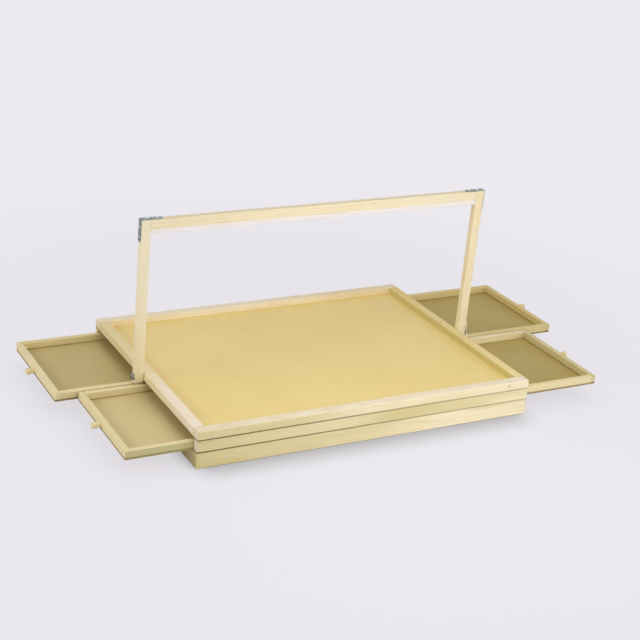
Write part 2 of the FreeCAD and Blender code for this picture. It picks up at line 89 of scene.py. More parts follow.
# One material and the nodes in it.
class Paint:
    def __init__(self, name):
        self.material = bpy.data.materials.new(name)
        self.material.use_nodes = True
        self.tree = self.material.node_tree
        self.tree.nodes.clear()

    def node(self, kind, settings=None, values=None, output=0):
        # settings are the node's own, such as its operation. values and links go to its sockets.
        item = self.tree.nodes.new("ShaderNode" + kind)
        for key, value in (settings or {}).items():
            setattr(item, key, value)
        for key, value in (values or {}).items():
            if isinstance(value, Signal):
                self.tree.links.new(value.socket, item.inputs[key])
            else:
                item.inputs[key].default_value = value
        return Signal(self, item.outputs[output]) if len(item.outputs) else None

    def maths(self, operation, first, second=0.0):
        return self.node("Math", {"operation": operation}, {0: first, 1: second})

    def smooth(self, value, low, high, start=0.0, end=1.0):
        # Goes softly from start at low to end at high.
        return self.node(
            "MapRange",
            {"interpolation_type": "SMOOTHSTEP"},
            {"Value": value, "From Min": low, "From Max": high, "To Min": start, "To Max": end},
        )

    def blend(self, factor, first, second):
        settings = {"data_type": "RGBA", "blend_type": "MIX"}
        return self.node("Mix", settings, {0: factor, 6: first, 7: second}, 2)

    def parts(self, vector):
        # The X, Y and Z of a vector.
        split = self.node("SeparateXYZ", None, {0: vector})
        return [Signal(self, output) for output in split.socket.node.outputs]

    def length(self, vector):
        return self.node("VectorMath", {"operation": "LENGTH"}, {0: vector}, "Value")

    def place(self):
        return self.node("TexCoord", output="Object")

    def facing(self):
        # Which way the surface looks, along X, Y and Z.
        return self.parts(self.node("TexCoord", output="Normal"))

    def position(self, turn=(0, 0, 0), centre=(0, 0, 0)):
        # Object coordinates, centred on a point and turned.
        turning = Euler(turn)
        moved = -(turning.to_matrix() @ Vector(centre))
        values = {"Vector": self.place(), "Rotation": turning, "Location": moved}
        return self.node("Mapping", None, values)

    def stretch(self, place, scale, shift=(0, 0, 0)):
        return self.node("Mapping", None, {"Vector": place, "Scale": scale, "Location": shift})

    def noise(self, place, scale=1.0, detail=2.0, roughness=0.5, output="Fac"):
        values = {"Vector": place, "Scale": scale, "Detail": detail, "Roughness": roughness}
        return self.node("TexNoise", {"noise_dimensions": "3D"}, values, output)

    def cells(self, place, scale, output):
        values = {"Vector": place, "Scale": scale}
        return self.node("TexVoronoi", {"feature": "F1"}, values, output)

    def bump(self, height, distance, strength):
        values = {"Height": height, "Distance": distance, "Strength": strength}
        return self.node("Bump", None, values, "Normal")

    def finish(self, values):
        surface = self.node("BsdfPrincipled", None, values)
        self.node("OutputMaterial", None, {"Surface": surface})
        return self.material


def dress(name, material):
    # Puts a material on a carried-over node.
    mesh = nodes[name].data
    mesh.materials.clear()
    mesh.materials.append(material)


def addObject(name, data):
    item = bpy.data.objects.new(name, data)
    bpy.context.scene.collection.objects.link(item)
    return item


meshing = {"mergeDistance": 1e-7, "smoothAngle": math.radians(35)}


def meshPiece(name, points, faces, material, body):
    # A new piece from arrays of points and faces, in place. Points that a pole doubles are merged,
    # and the shading is smooth up to an angle.
    mesh = bpy.data.meshes.new(name)
    mesh.from_pydata(points.tolist(), [], faces.tolist())
    shape = bmesh.new()
    shape.from_mesh(mesh)
    bmesh.ops.remove_doubles(shape, verts=shape.verts, dist=meshing["mergeDistance"])
    bmesh.ops.recalc_face_normals(shape, faces=shape.faces)
    shape.to_mesh(mesh)
    shape.free()
    mesh.shade_smooth()
    mesh.set_sharp_from_angle(angle=meshing["smoothAngle"])
    mesh.materials.append(material)
    piece = addObject(name, mesh)
    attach(piece, body)
    return piece


def ringFaces(rings, sides):
    # Quads between neighbouring rings, each of which is one closed row of points.
    rows = np.arange(rings - 1)[:, None] * sides
    turn = np.arange(sides)
    nextTurn = (turn + 1) % sides
    corners = [rows + turn, rows + nextTurn, rows + sides + nextTurn, rows + sides + turn]
    return np.stack(corners, 2).reshape(-1, 4)


def roundBody(outline, sides):
    # A round body about the x axis. Each row of the outline is a place along it and a radius.
    angles = np.arange(sides) * 2 * math.pi / sides
    along = np.repeat(outline[:, :1], sides, axis=1)
    radius = outline[:, 1:]
    points = np.stack([along, radius * np.cos(angles), radius * np.sin(angles)], 2)
    return points.reshape(-1, 3), ringFaces(len(outline), sides)


def turnedShape(profile, sides, halves):
    # Rings round the z axis, stretched to the half widths. Each row of the profile is a scale, a
    # height and a power. The ring is a superellipse: the power of the cosine and of the sine add
    # up to one, so 2 gives a circle and a high power a rounded square.
    angles = (np.arange(sides) + 0.5) * 2 * math.pi / sides
    rows = np.asarray(profile, float)
    scale, height, power = rows[:, 0:1], rows[:, 1:2], rows[:, 2:3]
    cosine, sine = np.cos(angles), np.sin(angles)
    reach = scale * (np.abs(cosine) ** power + np.abs(sine) ** power) ** (-1 / power)
    rise = np.repeat(height, sides, axis=1)
    points = np.stack([reach * cosine * halves[0], reach * sine * halves[1], rise], 2)
    return points.reshape(-1, 3), ringFaces(len(rows), sides)


def repeated(points, faces, places):
    # The same shape set down at every place.
    places = np.asarray(places, float)
    everyPoint = (places[:, None, :] + points[None]).reshape(-1, 3)
    firsts = np.arange(len(places))[:, None, None] * len(points)
    return everyPoint, (firsts + faces[None]).reshape(-1, faces.shape[1])


# The camera stands at the photograph's angle, to the left of the front and a little rolled.
shot = {
    "place": (-1.3753, -2.3704, 1.3004),
    "azimuth": -27.59,
    "elevation": 21.48,
    "roll": 4.52,
    "focalPixels": 1416.6,
    "centrePixel": (256, 280),
    "picturePixels": 640,
    "clipEnd": 200,
}


def placeCamera():
    data = bpy.data.cameras.new("camera")
    camera = addObject("camera", data)
    side = shot["picturePixels"]
    across, down = shot["centrePixel"]
    data.lens = shot["focalPixels"] / side * data.sensor_width
    data.shift_x = (side / 2 - across) / side
    data.shift_y = (down - side / 2) / side
    data.clip_end = shot["clipEnd"]
    tilt = math.radians(90 - shot["elevation"])
    turn = Euler((tilt, 0, math.radians(shot["azimuth"]))).to_matrix()
    roll = Euler((0, 0, math.radians(shot["roll"]))).to_matrix()
    camera.matrix_world = (turn @ roll).to_4x4()
    camera.location = shot["place"]
    bpy.context.scene.camera = camera


placeCamera()
print("camera placed")


# The stretch of lead that hangs free, from the arch's pivot into the base.
freeLead = {
    "route": (
        (0.4021, 0.0, 0.0667),
        (0.4044, 0.0002, 0.0622),
        (0.4066, 0.0005, 0.0558),
        (0.4010, 0.0005, 0.0500),
        (0.3900, 0.0002, 0.0466),
        (0.3790, -0.0002, 0.0440),
        (0.3720, 0.0, 0.0394),
        (0.3710, 0.0003, 0.0286),
    ),
    "length": 0.0605,
    "diameter": 0.002,
    "stepsAlong": 12,
    "stepsRound": 6,
    "order": 3,
}
jacket = {
    "clean": linear(252, 246, 232),
    "handled": linear(242, 235, 218),
    "hazeScale": 180,
    "hazeEdge": (0.35, 0.75),
    "rippleScale": 700,
    "relief": 0.0001,
    "reliefStrength": 0.4,
    "roughness": 0.45,
    "hazeRoughness": 0.12,
    "gloss": 0.35,
}


def leadSurface():
    # White cable jacket, a little wavy from its cores, with a faint grey handling tone.
    paint = Paint("lead_jacket")
    place = paint.position()
    haze = paint.noise(place, jacket["hazeScale"], detail=3, roughness=0.6)
    dull = paint.smooth(haze, *jacket["hazeEdge"])
    ripple = paint.noise(place, jacket["rippleScale"])
    return paint.finish({
        "Base Color": paint.blend(dull, jacket["clean"], jacket["handled"]),
        "Roughness": jacket["roughness"] + dull * jacket["hazeRoughness"],
        "Normal": paint.bump(ripple, jacket["relief"], jacket["reliefStrength"]),
        "Specular IOR Level": jacket["gloss"],
    })


def hangLead(material):
    # A round tube on one smooth spline, which the route's points steer.
    curve = bpy.data.curves.new("free_lead", "CURVE")
    curve.dimensions = "3D"
    curve.resolution_u = freeLead["stepsAlong"]
    curve.bevel_depth = freeLead["diameter"] / 2
    curve.bevel_resolution = freeLead["stepsRound"]
    curve.use_fill_caps = True
    line = curve.splines.new("NURBS")
    line.points.add(len(freeLead["route"]) - 1)
    for point, place in zip(line.points, freeLead["route"]):
        point.co = (*place, 1)
    line.order_u = freeLead["order"]
    line.use_endpoint_u = True
    curve.materials.append(material)
    piece = addObject("free_lead", curve)
    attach(piece, "board")
    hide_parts("led_lead_lower")


leadJacket = leadSurface()
hangLead(leadJacket)
dress("led_lead_upper", leadJacket)
print("lead hung")


# The floor and the light are plain. The floor shows the backdrop's colour with a painted contact
# shadow where the object stands close over it, and a small share of the lamps' own shadows. The
# sun's azimuth runs from the front towards the right, and angles are in degrees.
studio = {
    "backdrop": linear(236, 233, 239),
    "paintedShadow": linear(70, 70, 56),
    "paintedShadowReach": 0.07,
    "paintedShadowEdge": (0.335, 0.41),
    "paintedShadowBeyond": 0.1,
    "paintedShadowSamples": 6,
    "floorSide": 60,
    "floorDrop": 0.0004,
    "floorRoughness": 0.9,
    "floorGloss": 0.1,
    "floorShadow": 0.14,
    "shadowReach": (0.6, 1.5),
    "ambient": 0.42,
    "ambientTint": linear(253, 253, 255),
    "sun": {"azimuth": 160, "elevation": 60, "width": 45, "strength": 0.4},
}
lamps = {
    "front": {
        "place": (0.0, -0.8, 0.72),
        "target": (0.0, -0.12, 0.06),
        "size": (0.9, 0.5),
        "spread": 150,
        "watts": 2.45,
        "tint": (1, 0.99, 0.97),
    },
    "rightSide": {
        "place": (1.2, -1.45, 0.5),
        "target": (0.4, -0.25, 0.06),
        "size": (0.6, 0.4),
        "spread": 120,
        "watts": 2.4,
        "tint": (1, 0.99, 0.98),
    },
    "leftSide": {
        "place": (-1.8, 0.0, 0.7),
        "target": (-0.42, 0.0, 0.06),
        "size": (0.6, 0.4),
        "spread": 120,
        "watts": 2.9,
        "tint": (1, 0.99, 0.97),
    },
}


def layFloor():
    half = studio["floorSide"] / 2
    mesh = bpy.data.meshes.new("floor")
    corners = [(-half, -half, 0), (half, -half, 0), (half, half, 0), (-half, half, 0)]
    mesh.from_pydata(corners, [], [(0, 1, 2, 3)])
    floor = addObject("floor", mesh)
    floor.location.z = -studio["floorDrop"]
    paint = Paint("studio_floor")
    matt = paint.node("BsdfPrincipled", None, {
        "Base Color": studio["backdrop"],
        "Roughness": studio["floorRoughness"],
        "Specular IOR Level": studio["floorGloss"],
    })
    glow = paint.node("Emission", None, {"Color": studio["backdrop"], "Strength": 1.0})
    # Painted contact shadow: a dark emission that the floor shows near the object, by ambient
    # occlusion.
    paintedShadowGlow = paint.node("Emission", None, {"Color": studio["paintedShadow"], "Strength": 1.0})
    place = paint.position()
    openness = paint.node(
        "AmbientOcclusion",
        {"samples": studio["paintedShadowSamples"]},
        {"Distance": studio["paintedShadowReach"]},
        "AO",
    )
    # The painted shadow is kept in full within the case's width and weakened beyond its sides,
    # under the drawers.
    sideways = paint.maths("ABSOLUTE", paint.parts(place)[0])
    paintedShadowKept = paint.smooth(sideways, *studio["paintedShadowEdge"], 1.0, studio["paintedShadowBeyond"])
    paintedShadowMix = paint.node("MixShader", None, {0: (1.0 - openness) * paintedShadowKept, 1: glow, 2: paintedShadowGlow})
    share = paint.smooth(paint.length(place), *studio["shadowReach"], studio["floorShadow"], 0.0)
    shown = paint.node("MixShader", None, {0: share, 1: paintedShadowMix, 2: matt})
    seen = paint.node("LightPath", output="Is Camera Ray")
    mixed = paint.node("MixShader", None, {0: seen, 1: matt, 2: shown})
    paint.node("OutputMaterial", None, {"Surface": mixed})
    mesh.materials.append(paint.material)


def lightWorld():
    # The backdrop's colour for the camera, for mirrors and through clear pieces, else the ambient.
    world = bpy.data.worlds.new("studio")
    bpy.context.scene.world = world
    world.use_nodes = True
    tree = world.node_tree
    tree.nodes.clear()
    rays = tree.nodes.new("ShaderNodeLightPath")
    ambient = tree.nodes.new("ShaderNodeBackground")
    ambient.inputs["Color"].default_value = studio["ambientTint"]
    ambient.inputs["Strength"].default_value = studio["ambient"]
    backdrop = tree.nodes.new("ShaderNodeBackground")
    backdrop.inputs["Color"].default_value = studio["backdrop"]
    seen = rays.outputs["Is Camera Ray"]
    for ray in ("Is Glossy Ray", "Is Transmission Ray"):
        either = tree.nodes.new("ShaderNodeMath")
        either.operation = "MAXIMUM"
        tree.links.new(seen, either.inputs[0])
        tree.links.new(rays.outputs[ray], either.inputs[1])
        seen = either.outputs[0]
    mix = tree.nodes.new("ShaderNodeMixShader")
    tree.links.new(seen, mix.inputs[0])
    tree.links.new(ambient.outputs[0], mix.inputs[1])
    tree.links.new(backdrop.outputs[0], mix.inputs[2])
    output = tree.nodes.new("ShaderNodeOutputWorld")
    tree.links.new(mix.outputs[0], output.inputs["Surface"])


def hangSun():
    sun = studio["sun"]
    lamp = bpy.data.lights.new("sun", "SUN")
    lamp.energy = sun["strength"]
    lamp.angle = math.radians(sun["width"])
    item = addObject("sun", lamp)
    tilt = math.radians(90 - sun["elevation"])
    item.rotation_euler = (tilt, 0, math.radians(sun["azimuth"]))


def hangLamps():
    for name, settings in lamps.items():
        lamp = bpy.data.lights.new(name, "AREA")
        lamp.color = settings["tint"]
        lamp.spread = math.radians(settings["spread"])
        lamp.shape = "RECTANGLE"
        lamp.size, lamp.size_y = settings["size"]
        lamp.energy = settings["watts"]
        item = addObject(name, lamp)
        item.location = settings["place"]
        item.visible_camera = False
        aim = Vector(settings["target"]) - Vector(settings["place"])
        item.rotation_euler = aim.to_track_quat("-Z", "Y").to_euler()


layFloor()
lightWorld()
hangSun()
hangLamps()
bpy.context.scene.view_settings.view_transform = "Standard"
print("studio lit")


# Softwood. The growth rings are long tubes about a pith that lies outside the stock, so faces show
# lines and flames and the ends show arcs. Knots push the rings aside. Scales are per metre, first
# along the grain and then twice across it. An Edge says where a mask starts and where it ends.
pine = {
    # The body's tone runs from pale to gold, and late wood marks the end of each ring.
    "pale": linear(251, 240, 203),
    "gold": linear(229, 208, 138),
    "late": linear(214, 187, 122),
    "lateShare": 0.26,
    "ringSpacing": 0.0034,
    "lateRise": (0.35, 0.9),
    "lateFall": (0.93, 1.0),
    # How far a pattern shifts by chance, the pith's distance, its lean, and how the rings wander.
    "patternShift": 5,
    "pithReach": (0.02, 0.055),
    "lean": 0.03,
    "wanderScale": (3, 16, 16),
    "wander": 0.014,
    "unevenScale": (0.6, 60, 60),
    "unevenRings": 1.4,
    # Fibres, paler streaks in the late wood and clouds in the body's tone.
    "fibreScale": (22, 1500, 1500),
    "fibreEdge": (0.3, 0.75),
    "fibreShare": 0.1,
    "streakScale": (3, 130, 130),
    "streakEdge": (0.2, 0.7),
    "streakLow": 0.45,
    "cloudScale": (4, 20, 20),
    "cloudEdge": (0.25, 0.75),
    "cloudShare": 0.3,
    # Knots: lengths are in their own radius.
    "knot": linear(228, 196, 124),
    "knotShare": 0.5,
    "knotRim": linear(200, 160, 92),
    "rimShare": 0.3,
    "knotShorten": 0.72,
    "knotReach": 4.5,
    "knotPush": 1.3,
    "knotRagged": 0.5,
    "knotEdge": (0.8, 1.15),
    "rimStart": 0.75,
    "rimEnd": 1.4,
    # Dark lines where other pieces meet this one at its ends, and painted shade in the gaps at its
    # bottom and top, darker towards the left.
    "seam": linear(168, 146, 94),
    "seamReach": (0.0011, 0.0002),
    "seamShare": 0.3,
    "paintedGrooveShade": linear(106, 94, 36),
    "paintedGrooveShadeReach": (0.0002, 0.0026),
    "paintedGrooveShadeShare": (0.9, 0.4),
    # Where painted light or shade on one side of the stock starts and ends, by how far a face looks
    # that way.
    "facingEdge": (0.5, 0.95),
    "roughness": 0.58,
    "fibreRoughness": 0.16,
    "lateRoughness": 0.06,
    "gloss": 0.35,
    "lateHeight": 0.7,
    "fibreHeight": 0.35,
    "relief": 0.00008,
    "reliefStrength": 0.6,
}
archPine = {**pine, "pale": linear(255, 245, 214), "gold": linear(250, 232, 186)}
backPine = {**pine, "pale": linear(255, 243, 216), "gold": linear(246, 224, 176)}
# The left rail's pale pink-white, which its tone ramp puts at the front end, is a painted
# highlight.
paintedSheenLeftPine = {**pine, "pale": linear(255, 242, 222), "gold": linear(240, 222, 169)}
# Front rails: a darker, greener gold, which the tone ramps put at the left end, is painted shade.
paintedShadeFrontPine = {**pine, "gold": linear(216, 202, 138)}

# Front rails with painted light: their upper faces and left ends take a paler colour.
paintedLightFrontPine = {**paintedShadeFrontPine, "paintedLight": linear(246, 233, 206), "paintedLightShare": 0.85}

# The left front drawer's front is painted shade, an olive colour, under upper faces with painted
# light.
paintedShadeOlivePine = {
    **pine,
    "pale": linear(207, 200, 148),
    "gold": linear(199, 191, 136),
    "paintedLight": linear(240, 225, 174),
    "paintedLightShare": 1.0,
}

# The right rail's inner wall, which looks left, is darker than its top: painted shade.
rightPine = {
    **pine,
    "pale": linear(250, 232, 176),
    "gold": linear(238, 212, 128),
    "leftFace": linear(220, 203, 134),
}

# The right front drawer's outer rail is a little duller than the others.
dullPine = {**pine, "pale": linear(228, 214, 164), "gold": linear(216, 202, 148)}

# Knobs are small, so their rings are narrow.
knobPine = {
    **pine,
    "pale": linear(248, 232, 186),
    "gold": linear(238, 216, 158),
    "ringSpacing": 0.0018,
}

# How Object coordinates turn so that the first axis runs along the grain.
turns = {
    "x": (0, 0, 0),
    "y": (0, 0, math.radians(-90)),
    "z": (0, math.radians(90), 0),
}


def knotSignals(paint, local, radius, ragged, knots, look):
    # The rings' radius with the knots' push in it, and the masks of their hearts and dark rims.
    # The distance from a knot is measured with the length along the grain shortened.
    heart = 0.0
    rim = 0.0
    shorten = look["knotShorten"]
    for along, across, depth, size in knots:
        shift = (-along * shorten, -across, -depth)
        distance = paint.length(paint.stretch(local, (shorten, 1, 1), shift))
        push = paint.smooth(distance, 0.0, size * look["knotReach"], size * look["knotPush"], 0.0)
        radius = radius + push
        edge = distance + ragged * size * look["knotRagged"]
        inner, outer = look["knotEdge"]
        heart = heart + paint.smooth(edge, size * inner, size * outer, 1.0, 0.0)
        rimInside = paint.smooth(edge, size * look["rimStart"], size, 0.0, 1.0)
        rimOutside = paint.smooth(edge, size, size * look["rimEnd"], 1.0, 0.0)
        rim = rim + rimInside * rimOutside
    return radius, heart, rim


def woodBody(paint, along, half, warmth, cloud, look):
    # The tone between the rings. warmth is the share of gold at the grain's start and end.
    ramp = {"Value": along, "From Min": -half, "From Max": half}
    tone = paint.node("MapRange", None, {**ramp, "To Min": warmth[0], "To Max": warmth[1]})
    share = look["cloudShare"]
    cloudy = tone + paint.smooth(cloud, *look["cloudEdge"], -share, share)
    body = paint.blend(paint.node("Clamp", None, {"Value": cloudy}), look["pale"], look["gold"])
    if "paintedLight" not in look and "leftFace" not in look:
        return body
    rightwards, _, upwards = paint.facing()
    leftwards = rightwards * -1.0
    # Painted light: faces that look up or to the left take a paler colour.
    if "paintedLight" in look:
        mask = paint.smooth(paint.maths("MAXIMUM", upwards, leftwards), *look["facingEdge"])
        body = paint.blend(mask * look["paintedLightShare"], body, look["paintedLight"])
    # Painted shade: faces that look to the left take a darker colour.
    if "leftFace" in look:
        body = paint.blend(paint.smooth(leftwards, *look["facingEdge"]), body, look["leftFace"])
    return body


def woodSurface(name, box, grain, seed, warmth, knots=(), seams="", look=pine):
    # Local axes: the first runs along the grain. Each knot is its place about the box's centre and
    # its radius. seams says where another piece meets this one: at its ends, its bottom or its top.
    # Gaps at the bottom and the top get painted shade, which grows paler along x.
    chance = np.random.RandomState(seed)
    low, high = box
    half = (high - low)["xyz".index(grain)] / 2
    paint = Paint(name)
    local = paint.position(turns[grain], (low + high) / 2)
    shift = chance.uniform(-look["patternShift"], look["patternShift"], 3).tolist()
    wandering = paint.stretch(local, look["wanderScale"], shift)
    wander = paint.noise(wandering, detail=3, output="Color")
    drifts = [part - 0.5 for part in paint.parts(wander)]
    along, across, depth = paint.parts(local)
    angle = chance.uniform(0, 2 * math.pi)
    reach = chance.uniform(*look["pithReach"])
    leanAcross, leanDepth = chance.uniform(-look["lean"], look["lean"], 2).tolist()
    pithAcross, pithDepth = reach * math.cos(angle), reach * math.sin(angle)
    sideways = across + along * leanAcross + drifts[0] * look["wander"] - pithAcross
    inwards = depth + along * leanDepth + drifts[1] * look["wander"] - pithDepth
    radius = (sideways * sideways + inwards * inwards) ** 0.5
    radius, heart, rim = knotSignals(paint, local, radius, drifts[2], knots, look)

    uneven = paint.noise(paint.stretch(local, look["unevenScale"], shift), detail=1)
    rings = radius / look["ringSpacing"] + (uneven - 0.5) * look["unevenRings"]
    phase = paint.maths("FRACT", rings)
    late = paint.smooth(phase, *look["lateRise"]) * paint.smooth(phase, *look["lateFall"], 1.0, 0.0)
    fibre = paint.noise(paint.stretch(local, look["fibreScale"], shift), roughness=0.6)
    streak = paint.noise(paint.stretch(local, look["streakScale"], shift[::-1]))
    cloud = paint.noise(paint.stretch(local, look["cloudScale"], shift[::-1]))

    colour = woodBody(paint, along, half, warmth, cloud, look)
    streaks = paint.smooth(streak, *look["streakEdge"], look["streakLow"], 1.0)
    colour = paint.blend(late * look["lateShare"] * streaks, colour, look["late"])
    fibres = paint.smooth(fibre, *look["fibreEdge"], 0.0, look["fibreShare"])
    colour = paint.blend(fibres, colour, look["late"])
    if knots:
        hearts = paint.maths("MINIMUM", heart, 1.0) * look["knotShare"]
        colour = paint.blend(hearts, colour, look["knot"])
        rims = paint.maths("MINIMUM", rim, 1.0) * look["rimShare"]
        colour = paint.blend(rims, colour, look["knotRim"])
    if "ends" in seams:
        start, full = [half - reach for reach in look["seamReach"]]
        nearEnd = paint.smooth(paint.maths("ABSOLUTE", along), start, full)
        colour = paint.blend(nearEnd * look["seamShare"], colour, look["seam"])
    rise = paint.parts(paint.place())[2]
    # Painted shade in the gaps at the bottom and the top, darker towards the left end of rails
    # along x.
    grooveShadeDarkness = look["paintedGrooveShadeShare"][0]
    if grain == "x":
        grooveShadeDarkness = paint.smooth(along, -half, half, *look["paintedGrooveShadeShare"])
    for word, level in (("bottom", low.z), ("top", high.z)):
        if word in seams:
            gap = paint.maths("ABSOLUTE", rise - level)
            closeness = paint.smooth(gap, *look["paintedGrooveShadeReach"], 1.0, 0.0)
            colour = paint.blend(closeness * grooveShadeDarkness, colour, look["paintedGrooveShade"])
    rough = look["roughness"] + fibre * look["fibreRoughness"] - late * look["lateRoughness"]
    height = late * look["lateHeight"] + fibre * look["fibreHeight"]
    return paint.finish({
        "Base Color": colour,
        "Roughness": rough,
        "Specular IOR Level": look["gloss"],
        "Normal": paint.bump(height, look["relief"], look["reliefStrength"]),
    })


# Which way each rail's grain runs, how warm its tone is at the grain's start and end, its knots
# (along, across, depth, radius) and where it meets other pieces.
timber = {
    # The front rails' tone ramps run from the darker gold at the left end to pale at the right:
    # painted shade.
    "top_front_rail": (
        "x", (0.8, -0.3), [(0.19, 0.004, 0.004, 0.0045), (0.325, -0.008, 0.002, 0.004)], "bottom"
    ),
    "top_back_rail": ("x", (0.3, 0.45), [(0.11, 0.004, 0.009, 0.004)], "bottom"),
    # The left rail is pale at the front end and gold at the back: a painted highlight at the front.
    "top_left_rail": ("y", (-0.1, 1.0), [], "ends bottom"),
    "top_right_rail": ("y", (0.5, 0.9), [(0.04, 0.006, 0.008, 0.004)], "ends bottom"),
    "middle_front_rail": ("x", (0.95, 0.3), [], "bottom top"),
    "middle_back_rail": ("x", (0.4, 0.4), [(0.2, 0.006, 0.004, 0.004)], "bottom top"),
    "base_front_rail": ("x", (0.85, -0.1), [], "top"),
    "base_back_rail": ("x", (0.4, 0.4), [(-0.14, 0.007, 0.005, 0.005)], "top"),
    "base_left_rail": ("y", (0.7, 0.6), [], "ends"),
    "base_right_rail": ("y", (0.6, 0.6), [(-0.1, 0.007, 0.003, 0.004)], "ends"),
    "base_centre_rail": ("y", (0.5, 0.5), [], "ends"),
    "drawer_divider": ("x", (0.5, 0.5), [], ""),
    "front_cross_stop": ("y", (0.5, 0.5), [], ""),
    "back_cross_stop": ("y", (0.5, 0.5), [], ""),
    "arch_left_leg": ("z", (0.3, 0.2), [(0.03, 0.004, -0.005, 0.003)], ""),
    "arch_right_leg": ("z", (0.4, 0.5), [], ""),
    "arch_bar": ("x", (0.25, 0.25), [(0.12, -0.004, 0.004, 0.003)], "ends"),
}
stock = {
    "top_left_rail": paintedSheenLeftPine,
    "top_right_rail": rightPine,
    "top_front_rail": paintedLightFrontPine,
    "top_back_rail": backPine,
    "middle_front_rail": paintedLightFrontPine,
    "base_front_rail": paintedShadeFrontPine,
    "arch_left_leg": archPine,
    "arch_right_leg": archPine,
    "arch_bar": archPine,
    "left_front_drawer_front_side": paintedShadeOlivePine,
    "left_front_drawer_outer_rail": paintedShadeOlivePine,
    "right_front_drawer_outer_rail": dullPine,
}
drawers = ("left_back_drawer", "left_front_drawer", "right_back_drawer", "right_front_drawer")
drawerTimber = {
    "outer_rail": ("y", "bottom"),
    "inner_rail": ("y", "bottom"),
    "front_side": ("x", "ends bottom"),
    "back_side": ("x", "ends bottom"),
}
drawerWarmth = {
    "left_back_drawer": (0.5, 0.5),
    "left_front_drawer": (0.5, 0.5),
    "right_back_drawer": (0.9, 0.8),
    "right_front_drawer": (0.55, 0.45),
}
drawerKnots = {"right_back_drawer_back_side": [(-0.09, -0.002, 0.002, 0.0045)]}
seeds = {"timber": 11, "drawers": 100, "knobs": 300, "workBoard": 5, "deck": 6, "floors": 20}


def dressWood(name, seed, grain, warmth, knots, seams):
    look = stock.get(name, pine)
    surface = woodSurface(name + "_wood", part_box(name), grain, seed, warmth, knots, seams, look)
    dress(name, surface)


for number, (name, settings) in enumerate(timber.items()):
    dressWood(name, seeds["timber"] + number, *settings)
drawerRails = [(drawer, rail) for drawer in drawers for rail in drawerTimber]
for number, (drawer, rail) in enumerate(drawerRails):
    name = drawer + "_" + rail
    grain, seams = drawerTimber[rail]
    knots = drawerKnots.get(name, [])
    dressWood(name, seeds["drawers"] + number, grain, drawerWarmth[drawer], knots, seams)
print("timber dressed")


# Smooth-faced hardboard: pressed brown fibre with a satin face, a woven back and raw edges.
boardLook = {
    "work": {
        "face": linear(247, 221, 141),
        "shade": linear(243, 216, 135),
        "fleck": linear(200, 166, 100),
        "roughness": 0.38,
        "gloss": 0.5,
    },
    "left": {
        "face": linear(204, 184, 122),
        "shade": linear(197, 177, 115),
        "fleck": linear(150, 130, 78),
        "roughness": 0.48,
        "gloss": 0.35,
    },
    "leftFront": {
        "face": linear(225, 205, 148),
        "shade": linear(218, 198, 141),
        "fleck": linear(170, 150, 102),
        "roughness": 0.48,
        "gloss": 0.35,
    },
    "right": {
        "face": linear(193, 170, 97),
        "shade": linear(184, 161, 89),
        "fleck": linear(138, 116, 58),
        "roughness": 0.48,
        "gloss": 0.35,
    },
}
drawerBoards = {
    "left_back_drawer": "left",
    "left_front_drawer": "leftFront",
    "right_back_drawer": "right",
    "right_front_drawer": "right",
}

# What all boards share. Scales are per metre, and an Edge says where a mask starts and ends.
fibreboard = {
    "patternShift": 4,
    "cloudScale": (7, 7, 7),
    "cloudEdge": (0.3, 0.7),
    "pulpScale": (420, 420, 420),
    "pulpEdge": (0.35, 0.75),
    "pulpShare": 0.12,
    "strandScales": ((120, 1100, 400), (1100, 120, 400)),
    "strandEdge": (0.62, 0.76),
    "strandShare": 0.12,
    "speckScale": 260.0,
    "speckEdge": (0.06, 0.16),
    "speckPulp": (0.5, 0.62),
    "speckShare": 0.45,
    "backFacing": (-0.9, -0.5),
    "sideFacing": (0.4, 0.7),
    "sideShare": 0.8,
    "weaveScale": 4200,
    "weaveHeight": 1.4,
    "pulpHeight": 0.25,
    "relief": 0.0001,
    "reliefStrength": 0.5,
    "pulpRoughness": 0.12,
    "rawRoughness": 0.3,
    "coat": 0.05,
    "coatRoughness": 0.4,
}


